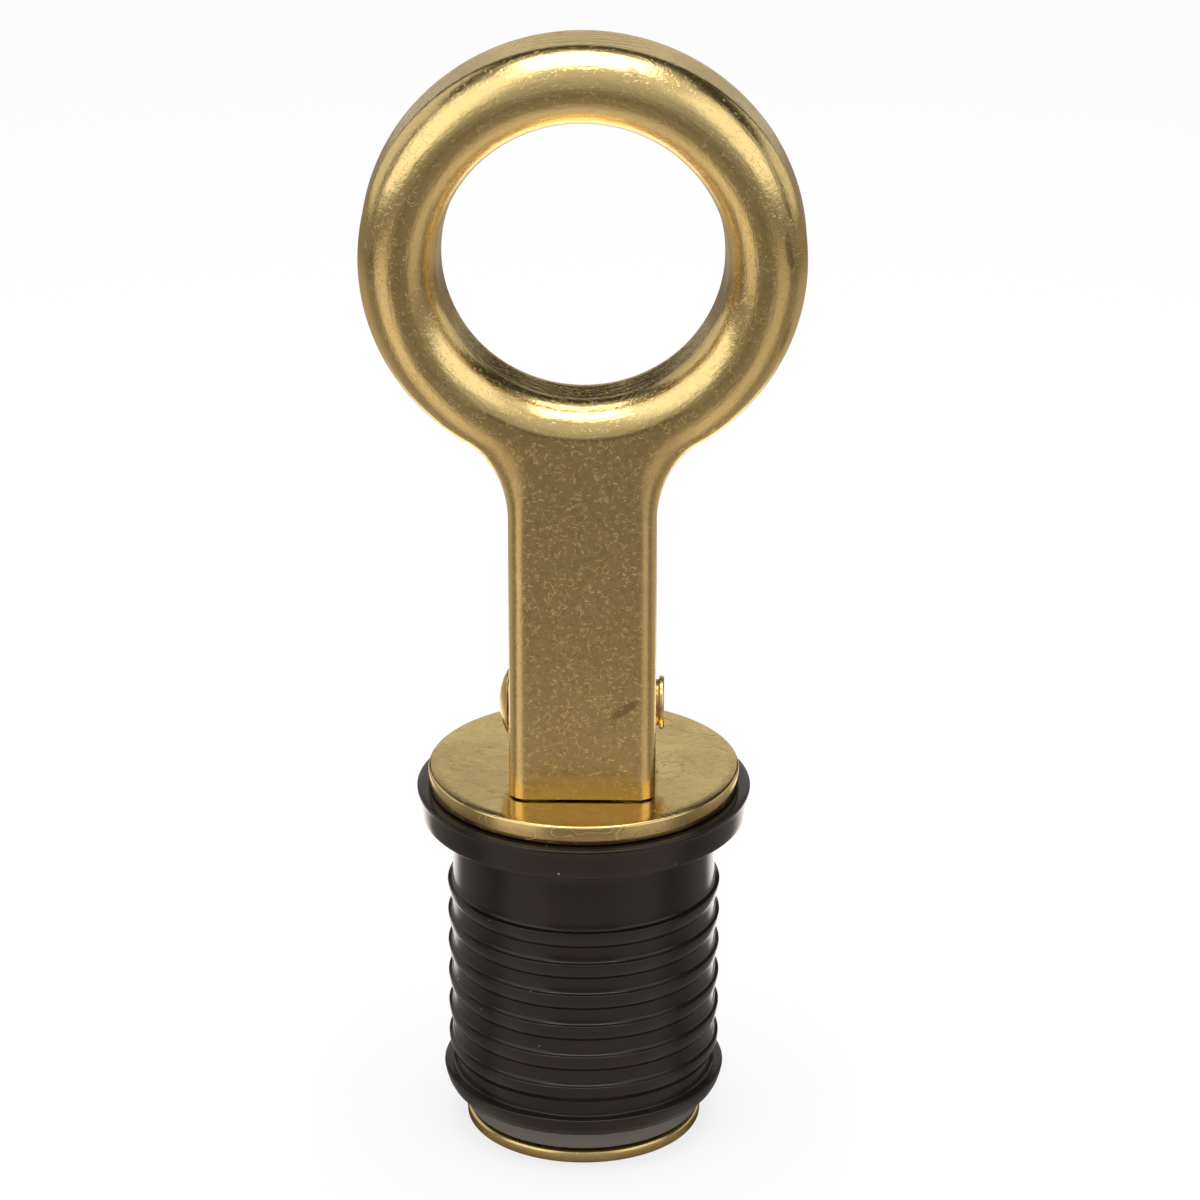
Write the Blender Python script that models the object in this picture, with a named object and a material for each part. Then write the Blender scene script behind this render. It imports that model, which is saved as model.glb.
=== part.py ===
"""Expanding drain plug with a fold-over lever handle, in metres with +Z up.

The plug stands on its bottom washer, with the origin under that washer's centre.
The front of the handle faces -Y, and the handle folds back towards +Y.
"""

import math

import bmesh
import bpy
from mathutils import Vector

# Fits
CLEARANCE = 0.0003
OVERRUN = 0.002
WELD_SHARE = 0.01
WELD = CLEARANCE * WELD_SHARE

# Bottom washer
FOOT_WASHER_RADIUS = 0.01093
FOOT_WASHER_THICKNESS = 0.00127
FOOT_WASHER_ROUND = 0.0004
SINK_RADIUS = 0.0047
SINK_DEPTH = 0.0009

# Draw rod
ROD_RADIUS = 0.003
ROD_END_RECESS = 0.00015
EYE_RADIUS = 0.0043
EYE_SIDE_GAP = 0.0004
EYE_BEVEL = 0.0004

# Rubber plug, from its foot to its flange
COLLAR_RADIUS = 0.0110
COLLAR_HEIGHT = 0.00224
LIP_RADIUS = 0.01243
BEAD_RADIUS = 0.01307
BEAD_HEIGHT = 0.00179
BEAD_FALL_SHARE = 0.67
BEAD_SHOULDER_SHARE = 0.2
BEAD_WAIST_SHARE = 0.5
RIB_RADIUS = 0.0126
RIB_ROOT_RADIUS = 0.01212
RIB_PITCH = 0.00313
RIB_FALL = 0.0016
RIB_COUNT = 6
NECK_RADIUS = 0.01205
NECK_LENGTH = 0.00651
NECK_FILLET = 0.0015
FLANGE_THICKNESS = 0.00304
FLANGE_RADIUS = 0.01531
FLANGE_EDGE_THICKNESS = 0.0004
FLANGE_RIM_RADIUS = 0.01505
FLANGE_FOOT_RADIUS = 0.01484
FLANGE_FOOT_ROUND = 0.0003

# Top washer
TOP_WASHER_RADIUS = 0.01426
TOP_WASHER_THICKNESS = 0.00152
TOP_WASHER_ROUND = 0.0003

# Pivot pin
PIN_RADIUS = 0.0021
PIN_HEIGHT = 0.00618
DOME_HEAD_RADIUS = 0.0030
DOME_HEAD_HEIGHT = 0.0008
FLAT_HEAD_RADIUS = 0.00243
FLAT_HEAD_THICKNESS = 0.00045
FLAT_HEAD_ROUND = 0.0002

# Handle
SHEET = 0.0011
STEM_WIDTH = 0.0132
STEM_EDGE_ROUND = 0.0016
WEB_REACH = 0.0087
RING_RISE = 0.04415
RING_RADIUS = 0.01964
HOLE_RADIUS = 0.01272
BEAD_CROWN = 0.0033
BEAD_PROUD = 0.0001
FLAT_HALF_WIDTH = 0.0070
FLAT_SPREAD = 0.0040
JOIN_REACH = 0.0012
SKIRT_DEPTH = 0.00443
LIP_DEPTH = 0.0030
LIP_DRAFT = 0.00027
NECK_OUTLINE_FILLET = 0.0080
EAR_RISE = 0.0080
DRAW = 0.0019

# Facets
RUBBER_SEGMENTS = 48
WASHER_SEGMENTS = 64
ROD_SEGMENTS = 32
EDGE_STEPS = 5
WEB_STEPS = 3
HALF_BEAD_STEPS = 4
RING_STEPS = 22
WALL_STEPS = 3
CAM_STEPS = 7
EAR_STEPS = 2
TAPER_STEPS = 5
NECK_STEPS = 9
RIB_STEPS = 3
SHARP_ANGLE = math.radians(35)

# Angles, with the junction's measured below the ring's side where its stem begins
JUNCTION_ANGLE = math.radians(50)
FULL_FOLD = math.radians(90)
RIGHT_ANGLE = math.radians(90)

# Heights that follow from the pieces stacked on the rod
RUBBER_FOOT_Z = FOOT_WASHER_THICKNESS + CLEARANCE
COLLAR_TOP_Z = RUBBER_FOOT_Z + COLLAR_HEIGHT
BEAD_Z = COLLAR_TOP_Z + BEAD_HEIGHT
TOP_RIB_Z = BEAD_Z + RIB_COUNT * RIB_PITCH
FLANGE_FOOT_Z = TOP_RIB_Z + NECK_LENGTH
RUBBER_TOP_Z = FLANGE_FOOT_Z + FLANGE_THICKNESS
TOP_WASHER_Z = RUBBER_TOP_Z + CLEARANCE
TOP_WASHER_TOP_Z = TOP_WASHER_Z + TOP_WASHER_THICKNESS
PIN_Z = TOP_WASHER_TOP_Z + PIN_HEIGHT

# Radii and half widths that follow from the pieces they clear
ROD_BORE_RADIUS = ROD_RADIUS + CLEARANCE
PIN_BORE_RADIUS = PIN_RADIUS + CLEARANCE
STEM_HALF = STEM_WIDTH / 2
EYE_HALF = STEM_HALF - SHEET - EYE_SIDE_GAP
HEAD_SEAT = STEM_HALF + CLEARANCE

# The handle's own frame has its origin on the pin's axis
FOOT_DROP = PIN_HEIGHT - CLEARANCE
CAM_RATE = DRAW / FULL_FOLD
EAR_DEPTH = FOOT_DROP + DRAW
BEAD_HALF = (RING_RADIUS - HOLE_RADIUS) / 2
CREST_RADIUS = HOLE_RADIUS + BEAD_HALF
JOIN_RADIUS = CREST_RADIUS + JOIN_REACH
SHOULDER_Y = BEAD_CROWN - BEAD_PROUD - WEB_REACH
SKIRT_Y = SHOULDER_Y + SKIRT_DEPTH
LIP_Y = SHOULDER_Y + LIP_DEPTH
NECK_CENTRE_X = STEM_HALF + NECK_OUTLINE_FILLET
NECK_ANGLE = math.acos(NECK_CENTRE_X / (RING_RADIUS + NECK_OUTLINE_FILLET))
NECK_CENTRE_Z = RING_RISE - (RING_RADIUS + NECK_OUTLINE_FILLET) * math.sin(NECK_ANGLE)
NECK_TOP_Z = RING_RISE - RING_RADIUS * math.sin(NECK_ANGLE)


def clear_scene():
    for item in list(bpy.data.objects):
        bpy.data.objects.remove(item, do_unlink=True)


def material(name, colour, roughness, metallic):
    made = bpy.data.materials.new(name)
    made.use_nodes = True
    shader = made.node_tree.nodes["Principled BSDF"]
    shader.inputs["Base Color"].default_value = (*colour, 1.0)
    shader.inputs["Roughness"].default_value = roughness
    shader.inputs["Metallic"].default_value = metallic
    made.diffuse_color = (*colour, 1.0)
    return made


def add_object(name, mesh, finish=None):
    made = bpy.data.objects.new(name, mesh)
    bpy.context.scene.collection.objects.link(made)
    if finish:
        mesh.materials.append(finish)
    return made


def cutter(name, mesh):
    made = add_object(name, mesh)
    made.hide_render = True
    made.display_type = "WIRE"
    return made


def cut(target, tool, operation="DIFFERENCE"):
    step = target.modifiers.new(tool.name, "BOOLEAN")
    step.operation = operation
    step.solver = "EXACT"
    step.object = tool


def smooth_step(value):
    inside = min(max(value, 0.0), 1.0)
    return inside * inside * (3 - 2 * inside)


def arc(centre_r, centre_z, radius, start, end, steps):
    """Points on an arc in the (radius, height) plane, with angles in degrees."""
    turns = [math.radians(start + (end - start) * i / steps) for i in range(steps + 1)]
    return [(centre_r + radius * math.cos(t), centre_z + radius * math.sin(t)) for t in turns]


def turned(name, profile, segments):
    """A solid of revolution about Z from a (radius, height) section.

    A section that starts on the axis ends on it too. Any other section is a closed loop.
    """
    form = bmesh.new()
    points = [form.verts.new((r, 0.0, z)) for r, z in profile]
    edges = [form.edges.new(pair) for pair in zip(points, points[1:])]
    if profile[0][0] > 0:
        edges.append(form.edges.new((points[-1], points[0])))
    bmesh.ops.spin(
        form,
        geom=points + edges,
        axis=(0.0, 0.0, 1.0),
        cent=(0.0, 0.0, 0.0),
        steps=segments,
        angle=math.tau,
        use_merge=True,
    )
    bmesh.ops.remove_doubles(form, verts=form.verts, dist=WELD)
    bmesh.ops.recalc_face_normals(form, faces=form.faces)
    return finish_mesh(name, form)


def finish_mesh(name, form):
    mesh = bpy.data.meshes.new(name)
    form.to_mesh(mesh)
    form.free()
    mesh.shade_smooth()
    mesh.set_sharp_from_angle(angle=SHARP_ANGLE)
    return mesh


def cross_cylinder(name, radius, half_length, bevel):
    """A cutter along X through the pin's axis, its end edges bevelled unless bevel is zero."""
    section = [(0.0, -half_length), (radius - bevel, -half_length)]
    if bevel:
        section += [(radius, bevel - half_length), (radius, half_length - bevel)]
    section += [(radius - bevel, half_length), (0.0, half_length)]
    form = cutter(name, turned(name, section, ROD_SEGMENTS))
    form.rotation_euler.y = RIGHT_ANGLE
    form.location.z = PIN_Z
    return form


def add_bottom_washer(finish):
    """Flat washer with rolled edges, countersunk below for the rod's spread end."""
    edge = FOOT_WASHER_ROUND
    outer = FOOT_WASHER_RADIUS - edge
    profile = [(SINK_RADIUS, 0.0)]
    profile += arc(outer, edge, edge, -90, 0, 3)
    profile += arc(outer, FOOT_WASHER_THICKNESS - edge, edge, 0, 90, 3)
    profile += [(ROD_BORE_RADIUS, FOOT_WASHER_THICKNESS), (ROD_BORE_RADIUS, SINK_DEPTH)]
    return add_object("bottom_washer", turned("bottom_washer", profile, WASHER_SEGMENTS), finish)


def add_draw_rod(finish):
    """Rod with a cross-drilled eye above and an end spread into the bottom washer."""
    sink_slope = (SINK_RADIUS - ROD_BORE_RADIUS) / SINK_DEPTH
    spread_top = SINK_DEPTH - CLEARANCE
    spread = ROD_RADIUS + (spread_top - ROD_END_RECESS) * sink_slope
    profile = [(0.0, ROD_END_RECESS), (spread, ROD_END_RECESS), (ROD_RADIUS, spread_top)]
    profile += [(ROD_RADIUS, PIN_Z), (0.0, PIN_Z)]
    rod = add_object("draw_rod", turned("draw_rod", profile, ROD_SEGMENTS), finish)
    cut(rod, cross_cylinder("eye_form", EYE_RADIUS, EYE_HALF, EYE_BEVEL), "UNION")
    cut(rod, cross_cylinder("eye_hole", PIN_BORE_RADIUS, EYE_HALF + OVERRUN, 0.0))
    return rod


def rib_points(edge_z, edge_radius):
    """One moulded rib: a sharp upper edge, then a bulge that dies out in the wall."""
    points = [(RIB_ROOT_RADIUS, edge_z)]
    for i in range(RIB_STEPS + 1):
        share = i / RIB_STEPS
        drop = (edge_radius - RIB_ROOT_RADIUS) * (1 - math.sqrt(1 - share * share))
        points.append((edge_radius - drop, edge_z - RIB_FALL * share))
    return points


def rubber_profile():
    """Section of the moulded plug, down its outside from the flange, then up its bore."""
    rim_z = RUBBER_TOP_Z - FLANGE_EDGE_THICKNESS
    profile = [(ROD_BORE_RADIUS, RUBBER_TOP_Z), (FLANGE_RADIUS, RUBBER_TOP_Z)]
    profile += [(FLANGE_RADIUS, rim_z), (FLANGE_RIM_RADIUS, rim_z)]
    corner = FLANGE_FOOT_RADIUS - FLANGE_FOOT_ROUND
    profile += arc(corner, FLANGE_FOOT_Z + FLANGE_FOOT_ROUND, FLANGE_FOOT_ROUND, 0, -90, 2)
    hollow = NECK_RADIUS + NECK_FILLET
    profile += arc(hollow, FLANGE_FOOT_Z - NECK_FILLET, NECK_FILLET, 90, 180, 4)
    profile += [(NECK_RADIUS, TOP_RIB_Z)]
    for i in range(RIB_COUNT):
        profile += rib_points(TOP_RIB_Z - i * RIB_PITCH, RIB_RADIUS)
    bulge = BEAD_RADIUS - LIP_RADIUS
    bead_fall = BEAD_HEIGHT * BEAD_FALL_SHARE
    profile += [(RIB_ROOT_RADIUS, BEAD_Z), (BEAD_RADIUS, BEAD_Z)]
    profile += [(BEAD_RADIUS - bulge * BEAD_SHOULDER_SHARE, BEAD_Z - bead_fall / 2)]
    profile += [(BEAD_RADIUS - bulge * BEAD_WAIST_SHARE, BEAD_Z - bead_fall)]
    profile += [(LIP_RADIUS, COLLAR_TOP_Z), (COLLAR_RADIUS, COLLAR_TOP_Z)]
    profile += [(COLLAR_RADIUS, RUBBER_FOOT_Z), (ROD_BORE_RADIUS, RUBBER_FOOT_Z)]
    return profile


def add_rubber_plug(finish):
    mesh = turned("rubber_plug", rubber_profile(), RUBBER_SEGMENTS)
    return add_object("rubber_plug", mesh, finish)


def add_top_washer(finish):
    edge = TOP_WASHER_ROUND
    outer = TOP_WASHER_RADIUS - edge
    profile = [(ROD_BORE_RADIUS, TOP_WASHER_Z)]
    profile += arc(outer, TOP_WASHER_Z + edge, edge, -90, 0, 2)
    profile += arc(outer, TOP_WASHER_TOP_Z - edge, edge, 0, 90, 2)
    profile += [(ROD_BORE_RADIUS, TOP_WASHER_TOP_Z)]
    return add_object("top_washer", turned("top_washer", profile, WASHER_SEGMENTS), finish)


def add_pivot_pin(finish):
    """Rivet on the X axis: a domed head at -X and the flat closing head at +X."""
    dome_radius = (DOME_HEAD_RADIUS**2 + DOME_HEAD_HEIGHT**2) / (2 * DOME_HEAD_HEIGHT)
    dome_angle = math.degrees(math.asin(DOME_HEAD_RADIUS / dome_radius))
    dome_centre = dome_radius - HEAD_SEAT - DOME_HEAD_HEIGHT
    profile = arc(0.0, dome_centre, dome_radius, -90, dome_angle - 90, 5)
    profile[0] = (0.0, -HEAD_SEAT - DOME_HEAD_HEIGHT)
    profile += [(PIN_RADIUS, -HEAD_SEAT), (PIN_RADIUS, HEAD_SEAT)]
    profile += [(FLAT_HEAD_RADIUS, HEAD_SEAT)]
    rim = FLAT_HEAD_RADIUS - FLAT_HEAD_ROUND
    face = HEAD_SEAT + FLAT_HEAD_THICKNESS
    profile += arc(rim, face - FLAT_HEAD_ROUND, FLAT_HEAD_ROUND, 0, 90, 2)
    profile += [(0.0, face)]
    pin = add_object("pivot_pin", turned("pivot_pin", profile, ROD_SEGMENTS), finish)
    pin.rotation_euler.y = RIGHT_ANGLE
    pin.location.z = PIN_Z
    return pin


def edge_distance(x, z):
    """Distance in from the handle's outline: its stem's side, neck fillet or ring."""
    from_centre_x = abs(x) - NECK_CENTRE_X
    from_centre_z = z - NECK_CENTRE_Z
    if from_centre_z <= 0:
        return STEM_HALF - abs(x)
    towards_ring_z = RING_RISE - NECK_CENTRE_Z
    side = towards_ring_z * -from_centre_x - NECK_CENTRE_X * from_centre_z
    if side > 0:
        return math.hypot(from_centre_x, from_centre_z) - NECK_OUTLINE_FILLET
    return RING_RADIUS - math.hypot(x, z - RING_RISE)


def rounded_drop(distance, width, height):
    """How far a rounded edge of this width and height lies back at a distance in."""
    if distance >= width:
        return 0.0
    left = 1 - max(distance, 0.0) / width
    return height * (1 - math.sqrt(max(1 - left * left, 0.0)))


def front_y(x, z):
    """The pressed sheet's outer face: a ring bead whose crest is cut level by the stem's web.

    The cut fades out to both sides of the stem, and the bead is whole above the ring's centre.
    """
    radius = math.hypot(x, z - RING_RISE)
    neck = smooth_step((z - NECK_CENTRE_Z) / (NECK_TOP_Z - NECK_CENTRE_Z))
    width = STEM_EDGE_ROUND + (BEAD_HALF - STEM_EDGE_ROUND) * neck
    height = STEM_EDGE_ROUND + (BEAD_CROWN - STEM_EDGE_ROUND) * neck
    bead = rounded_drop(radius - HOLE_RADIUS, BEAD_HALF, BEAD_CROWN)
    if z < RING_RISE:
        flat = 1 - smooth_step((abs(x) - FLAT_HALF_WIDTH) / FLAT_SPREAD)
        bead = max(bead, BEAD_PROUD * flat)
    return bead + rounded_drop(edge_distance(x, z), width, height) - WEB_REACH - BEAD_PROUD


def cam_point(fold):
    """Point of the cam that bears at a fold angle, so the rod rises evenly with it."""
    reach = FOOT_DROP + CAM_RATE * fold
    y = reach * math.sin(fold) + CAM_RATE * math.cos(fold)
    return y, CAM_RATE * math.sin(fold) - reach * math.cos(fold)


def back_edge_y(z):
    """How far back the walls reach above the cam: full ears, then a sweep to the ring."""
    share = smooth_step((z - EAR_RISE) / (NECK_CENTRE_Z - EAR_RISE))
    return EAR_DEPTH + (SKIRT_Y - EAR_DEPTH) * share


def stem_rows():
    """Heights of the straight stem's rows, each with its wall's back edge."""
    rows = []
    for i in range(CAM_STEPS + 1):
        y, z = cam_point(FULL_FOLD * i / CAM_STEPS)
        rows.append((z, y))
    cam_top = rows[-1][0]
    for i in range(1, EAR_STEPS + 1):
        rows.append((cam_top + (EAR_RISE - cam_top) * i / EAR_STEPS, EAR_DEPTH))
    for i in range(1, TAPER_STEPS + 1):
        z = EAR_RISE + (NECK_CENTRE_Z - EAR_RISE) * i / TAPER_STEPS
        rows.append((z, back_edge_y(z)))
    return rows


def column_shares():
    """Shares of the stem's half width, from its edge in to its middle."""
    edge = STEM_EDGE_ROUND / STEM_HALF
    shares = [edge * (1 - math.cos(math.pi / 2 * i / EDGE_STEPS)) for i in range(EDGE_STEPS + 1)]
    return shares + [edge + (1 - edge) * i / WEB_STEPS for i in range(1, WEB_STEPS + 1)]


def outline_point(length):
    """Point on the neck's outline at a length above the straight stem."""
    fillet_length = NECK_OUTLINE_FILLET * NECK_ANGLE
    if length <= fillet_length:
        turn = length / NECK_OUTLINE_FILLET
        x = NECK_CENTRE_X - NECK_OUTLINE_FILLET * math.cos(turn)
        return x, NECK_CENTRE_Z + NECK_OUTLINE_FILLET * math.sin(turn)
    angle = NECK_ANGLE - (length - fillet_length) / RING_RADIUS
    return RING_RADIUS * math.cos(angle), RING_RISE - RING_RADIUS * math.sin(angle)


def junction_point(share):
    """Point where the stem's rows end against the ring's, from its side to its middle."""
    angle = JUNCTION_ANGLE + (math.pi / 2 - JUNCTION_ANGLE) * share
    radius = RING_RADIUS - (RING_RADIUS - JOIN_RADIUS) * math.sin(math.pi / 2 * share)
    if share == 1:
        return 0.0, RING_RISE - radius
    return radius * math.cos(angle), RING_RISE - radius * math.sin(angle)


def neck_row(rise, shares):
    """One row of the neck, blended between its outline, middle, stem and junction."""
    outline_length = NECK_OUTLINE_FILLET * NECK_ANGLE + RING_RADIUS * (NECK_ANGLE - JUNCTION_ANGLE)
    outer = Vector(outline_point(outline_length * rise))
    outer_low = Vector((STEM_HALF, NECK_CENTRE_Z))
    outer_high = Vector(junction_point(0))
    middle_low = Vector((0.0, NECK_CENTRE_Z))
    middle_high = Vector(junction_point(1))
    middle = middle_low.lerp(middle_high, rise)
    row = []
    for share in shares:
        low = outer_low.lerp(middle_low, share)
        high = Vector(junction_point(share))
        across = outer.lerp(middle, share)
        along = low.lerp(high, rise)
        corners = low.lerp(outer_high.lerp(middle_high, share), rise)
        point = across + along - corners
        row.append((0.0 if share == 1 else point.x, point.y))
    return row


def ring_row(angle, outer_radius):
    """Points across the ring from its outer edge to its hole, at an angle below its side."""
    radii = []
    for i in range(HALF_BEAD_STEPS):
        reach = math.cos(math.pi / 2 * i / HALF_BEAD_STEPS)
        radii.append(CREST_RADIUS + (outer_radius - CREST_RADIUS) * reach)
    for i in range(HALF_BEAD_STEPS + 1):
        radii.append(CREST_RADIUS - BEAD_HALF * math.sin(math.pi / 2 * i / HALF_BEAD_STEPS))
    return [(r * math.cos(angle), RING_RISE - r * math.sin(angle)) for r in radii]


def bridge(form, first, second):
    """Faces between two rows of vertices that run side by side."""
    for i in range(len(first) - 1):
        form.faces.new((first[i], first[i + 1], second[i + 1], second[i]))


def wall_row(form, vertex, back_y):
    """Vertices from a face's edge straight back to a wall's rim."""
    row = [vertex]
    for i in range(1, WALL_STEPS + 1):
        y = vertex.co.y + (back_y - vertex.co.y) * i / WALL_STEPS
        row.append(form.verts.new((vertex.co.x, y, vertex.co.z)))
    return row


def lip_row(form, vertex):
    """The bead's innermost vertex and the one behind it, where the hole's wall closes in."""
    inward = 1 - LIP_DRAFT / HOLE_RADIUS
    z = RING_RISE + (vertex.co.z - RING_RISE) * inward
    return [vertex, form.verts.new((vertex.co.x * inward, LIP_Y, z))]


def handle_half():
    """The outer face of the handle's right half, as one open sheet."""
    form = bmesh.new()
    shares = column_shares()
    stem, walls = [], []
    for z, back_y in stem_rows():
        xs = [STEM_HALF * (1 - share) for share in shares]
        row = [form.verts.new((x, front_y(x, z), z)) for x in xs]
        stem.append(row)
        walls.append(wall_row(form, row[0], back_y))
    for i in range(1, NECK_STEPS + 1):
        points = neck_row(i / NECK_STEPS, shares)
        row = [form.verts.new((x, front_y(x, z), z)) for x, z in points]
        stem.append(row)
        walls.append(wall_row(form, row[0], SKIRT_Y))
    junction = stem[-1]

    ring, lips = [], []
    for i in range(len(junction)):
        share = shares[len(junction) - 1 - i]
        angle = JUNCTION_ANGLE + (math.pi / 2 - JUNCTION_ANGLE) * share
        outer = junction[len(junction) - 1 - i]
        x, z = junction_point(share)
        points = ring_row(angle, math.hypot(x, z - RING_RISE))[1:]
        ring.append([outer] + [form.verts.new((x, front_y(x, z), z)) for x, z in points])
    for i in range(1, RING_STEPS + 1):
        angle = JUNCTION_ANGLE - (JUNCTION_ANGLE + math.pi / 2) * i / RING_STEPS
        points = ring_row(angle, RING_RADIUS)
        row = [form.verts.new((x, front_y(x, z), z)) for x, z in points]
        ring.append(row)
        walls.append(wall_row(form, row[0], SKIRT_Y))
    for row in ring:
        lips.append(lip_row(form, row[-1]))

    for rows in (stem, ring):
        for i in range(len(rows) - 1):
            bridge(form, rows[i], rows[i + 1])
    for rows in (walls, lips):
        for i in range(len(rows) - 1):
            bridge(form, rows[i + 1], rows[i])
    bmesh.ops.recalc_face_normals(form, faces=form.faces)
    form.faces.ensure_lookup_table()
    if form.faces[0].normal.y > 0:
        bmesh.ops.reverse_faces(form, faces=form.faces)
    return form


def add_handle(finish):
    """Pressed sheet handle: finger ring, channel stem and cam-shaped ears."""
    handle = add_object("handle", finish_mesh("handle", handle_half()), finish)
    handle.location.z = PIN_Z
    mirror = handle.modifiers.new("other half", "MIRROR")
    mirror.merge_threshold = WELD
    sheet = handle.modifiers.new("sheet thickness", "SOLIDIFY")
    sheet.thickness = SHEET
    sheet.offset = -1
    sheet.use_even_offset = True
    sheet.use_quality_normals = True
    cut(handle, cross_cylinder("ear_holes", PIN_BORE_RADIUS, STEM_HALF + OVERRUN, 0.0))
    return handle


def main():
    clear_scene()
    pressed = material("pressed_brass", (0.50, 0.37, 0.15), 0.30, 1.0)
    add_bottom_washer(material("foot_brass", (0.46, 0.33, 0.15), 0.40, 1.0))
    add_draw_rod(material("rod_brass", (0.52, 0.38, 0.17), 0.35, 1.0))
    add_rubber_plug(material("black_rubber", (0.025, 0.023, 0.022), 0.45, 0.0))
    add_top_washer(material("washer_brass", (0.56, 0.43, 0.20), 0.38, 1.0))
    add_pivot_pin(material("pin_brass", (0.52, 0.38, 0.17), 0.30, 1.0))
    add_handle(pressed)


main()
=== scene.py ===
"""An expanding drain plug with a fold-over ring handle, as editable pieces and a small studio.

Lengths are in metres. The plug stands on its foot washer with its axis on Z, the handle's
front faces -Y, and the handle folds back towards +Y about a rivet that lies along X.
"""

import math
from types import SimpleNamespace

import bmesh
import bpy
import numpy as np
from bpy.props import FloatProperty, FloatVectorProperty, IntProperty, PointerProperty
from bpy.types import Operator, Panel, PropertyGroup
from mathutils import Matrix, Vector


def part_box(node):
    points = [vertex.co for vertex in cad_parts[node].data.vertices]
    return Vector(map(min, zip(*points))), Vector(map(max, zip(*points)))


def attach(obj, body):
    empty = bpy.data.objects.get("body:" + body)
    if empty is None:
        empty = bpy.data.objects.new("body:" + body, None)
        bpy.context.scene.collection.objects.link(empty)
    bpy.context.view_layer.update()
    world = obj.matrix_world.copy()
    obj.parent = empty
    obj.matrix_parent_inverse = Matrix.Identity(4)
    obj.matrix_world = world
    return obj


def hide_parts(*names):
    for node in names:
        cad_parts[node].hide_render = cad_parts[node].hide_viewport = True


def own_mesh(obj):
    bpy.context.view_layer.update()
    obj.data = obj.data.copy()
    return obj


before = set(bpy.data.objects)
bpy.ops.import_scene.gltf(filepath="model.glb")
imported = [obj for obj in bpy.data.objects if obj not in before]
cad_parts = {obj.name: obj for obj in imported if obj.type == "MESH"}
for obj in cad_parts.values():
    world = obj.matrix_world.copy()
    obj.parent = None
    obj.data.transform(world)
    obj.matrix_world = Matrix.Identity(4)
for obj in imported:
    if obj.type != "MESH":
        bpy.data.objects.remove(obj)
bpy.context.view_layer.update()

bl_info = {
    "name": "Expanding drain plug",
    "version": (1, 0, 0),
    "blender": (4, 5, 0),
    "location": "3D View > Sidebar > Drain plug",
    "description": "Builds a ring-handled drain plug from editable sizes and finishes",
    "category": "Add Mesh",
}

WELD = 0.000001
TOP_WASHER_BOX = np.array(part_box("top_washer"), dtype=float)
FOOT_WASHER_BOX = np.array(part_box("bottom_washer"), dtype=float)
RUBBER_BOX = np.array(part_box("rubber_plug"), dtype=float)
HANDLE_BOX = np.array(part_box("handle"), dtype=float)
PIN_BOX = np.array(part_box("pivot_pin"), dtype=float)
ROD_BOX = np.array(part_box("draw_rod"), dtype=float)
PIN_Z = float(PIN_BOX[:, 2].mean())

# Steps of the handle's mesh: round the cam, up the ear, along the sweep above it, round the
# ring, back along its walls and back along the finger hole's wall.
CAM_STEPS, EAR_STEPS, SWEEP_STEPS, RING_STEPS, WALL_STEPS, LIP_STEPS = 28, 8, 24, 130, 12, 6

# Of the floor that the camera sees, the shadow's share is lit and the rest glows white. It lies
# a hair under the plug. The back sheet's right edge is given by its lower and upper end.
WHITE = (1.0, 1.0, 1.0)
FLOOR_WARMTH = (1.0, 0.91, 0.84)
SHADOW_SHARE = 0.22
FLOOR_RADIUS, FLOOR_DROP = 1.6, 0.00002
SHEET_EDGE = ((0.26, 0.6, 0.0), (0.155, 0.6, 0.335))

# The softbox over the plug, and the camera's sensor in millimetres and its sideways shift.
SOFTBOX_SIZE, SOFTBOX_PLACE = (0.42, 0.46), (0.0, -0.03, 0.60)
SENSOR_WIDTH, CAMERA_SHIFT = 36.0, 0.0136


# Sizes and colours that a user would change


def length(name, description, default):
    return FloatProperty(
        name=name,
        description=description,
        default=default,
        min=0.0,
        unit="LENGTH",
        subtype="DISTANCE",
        precision=5,
    )


def colour(name, description, default):
    return FloatVectorProperty(
        name=name,
        description=description,
        default=default,
        size=3,
        min=0.0,
        max=1.0,
        subtype="COLOR",
    )


class HandleSizes(PropertyGroup):
    sheet: length("Sheet", "Thickness of the pressed brass sheet", 0.0011)
    stem_width: length("Stem width", "Width across the channel stem", 0.0132)
    edge_round: length("Stem edge", "Outer bend radius of the stem's long edges", 0.0016)
    web_reach: length("Web reach", "Distance of the stem's flat face ahead of the rivet", 0.0087)
    ring_rise: length("Ring rise", "Height of the ring's centre over the rivet", 0.04415)
    ring_radius: length("Ring radius", "Outer radius of the finger ring", 0.01964)
    hole_radius: length("Hole radius", "Radius of the finger hole at the bead", 0.01272)
    bead_crown: length("Bead crown", "How far the ring's bead swells out of its skirt", 0.0033)
    bead_proud: length("Bead proud", "How far the bead stands ahead of the flat stem", 0.0001)
    flat_half: length("Flat half width", "Half width over which the stem cuts the bead", 0.0070)
    flat_spread: length("Flat spread", "Width over which that cut fades to each side", 0.0040)
    join_reach: length("Join reach", "How far outside the bead's crest the neck's mesh ends", 0.0012)
    skirt_depth: length("Skirt depth", "Depth of the straight wall behind the bead", 0.00443)
    lip_depth: length("Lip depth", "Depth of the wall inside the finger hole", 0.0030)
    lip_draft: length("Lip draft", "How far that wall closes in towards its back", 0.00027)
    neck_fillet: length("Neck fillet", "Outline radius where the stem meets the ring", 0.0080)
    ear_rise: length("Ear rise", "Height of the ears' straight back edge over the rivet", 0.0080)
    draw: length("Draw", "How far the cam ears lift the rod over a quarter turn", 0.0019)
    cut_edge: length("Cut edge", "Rounding of the sheet's cut edges", 0.00011)


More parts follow.
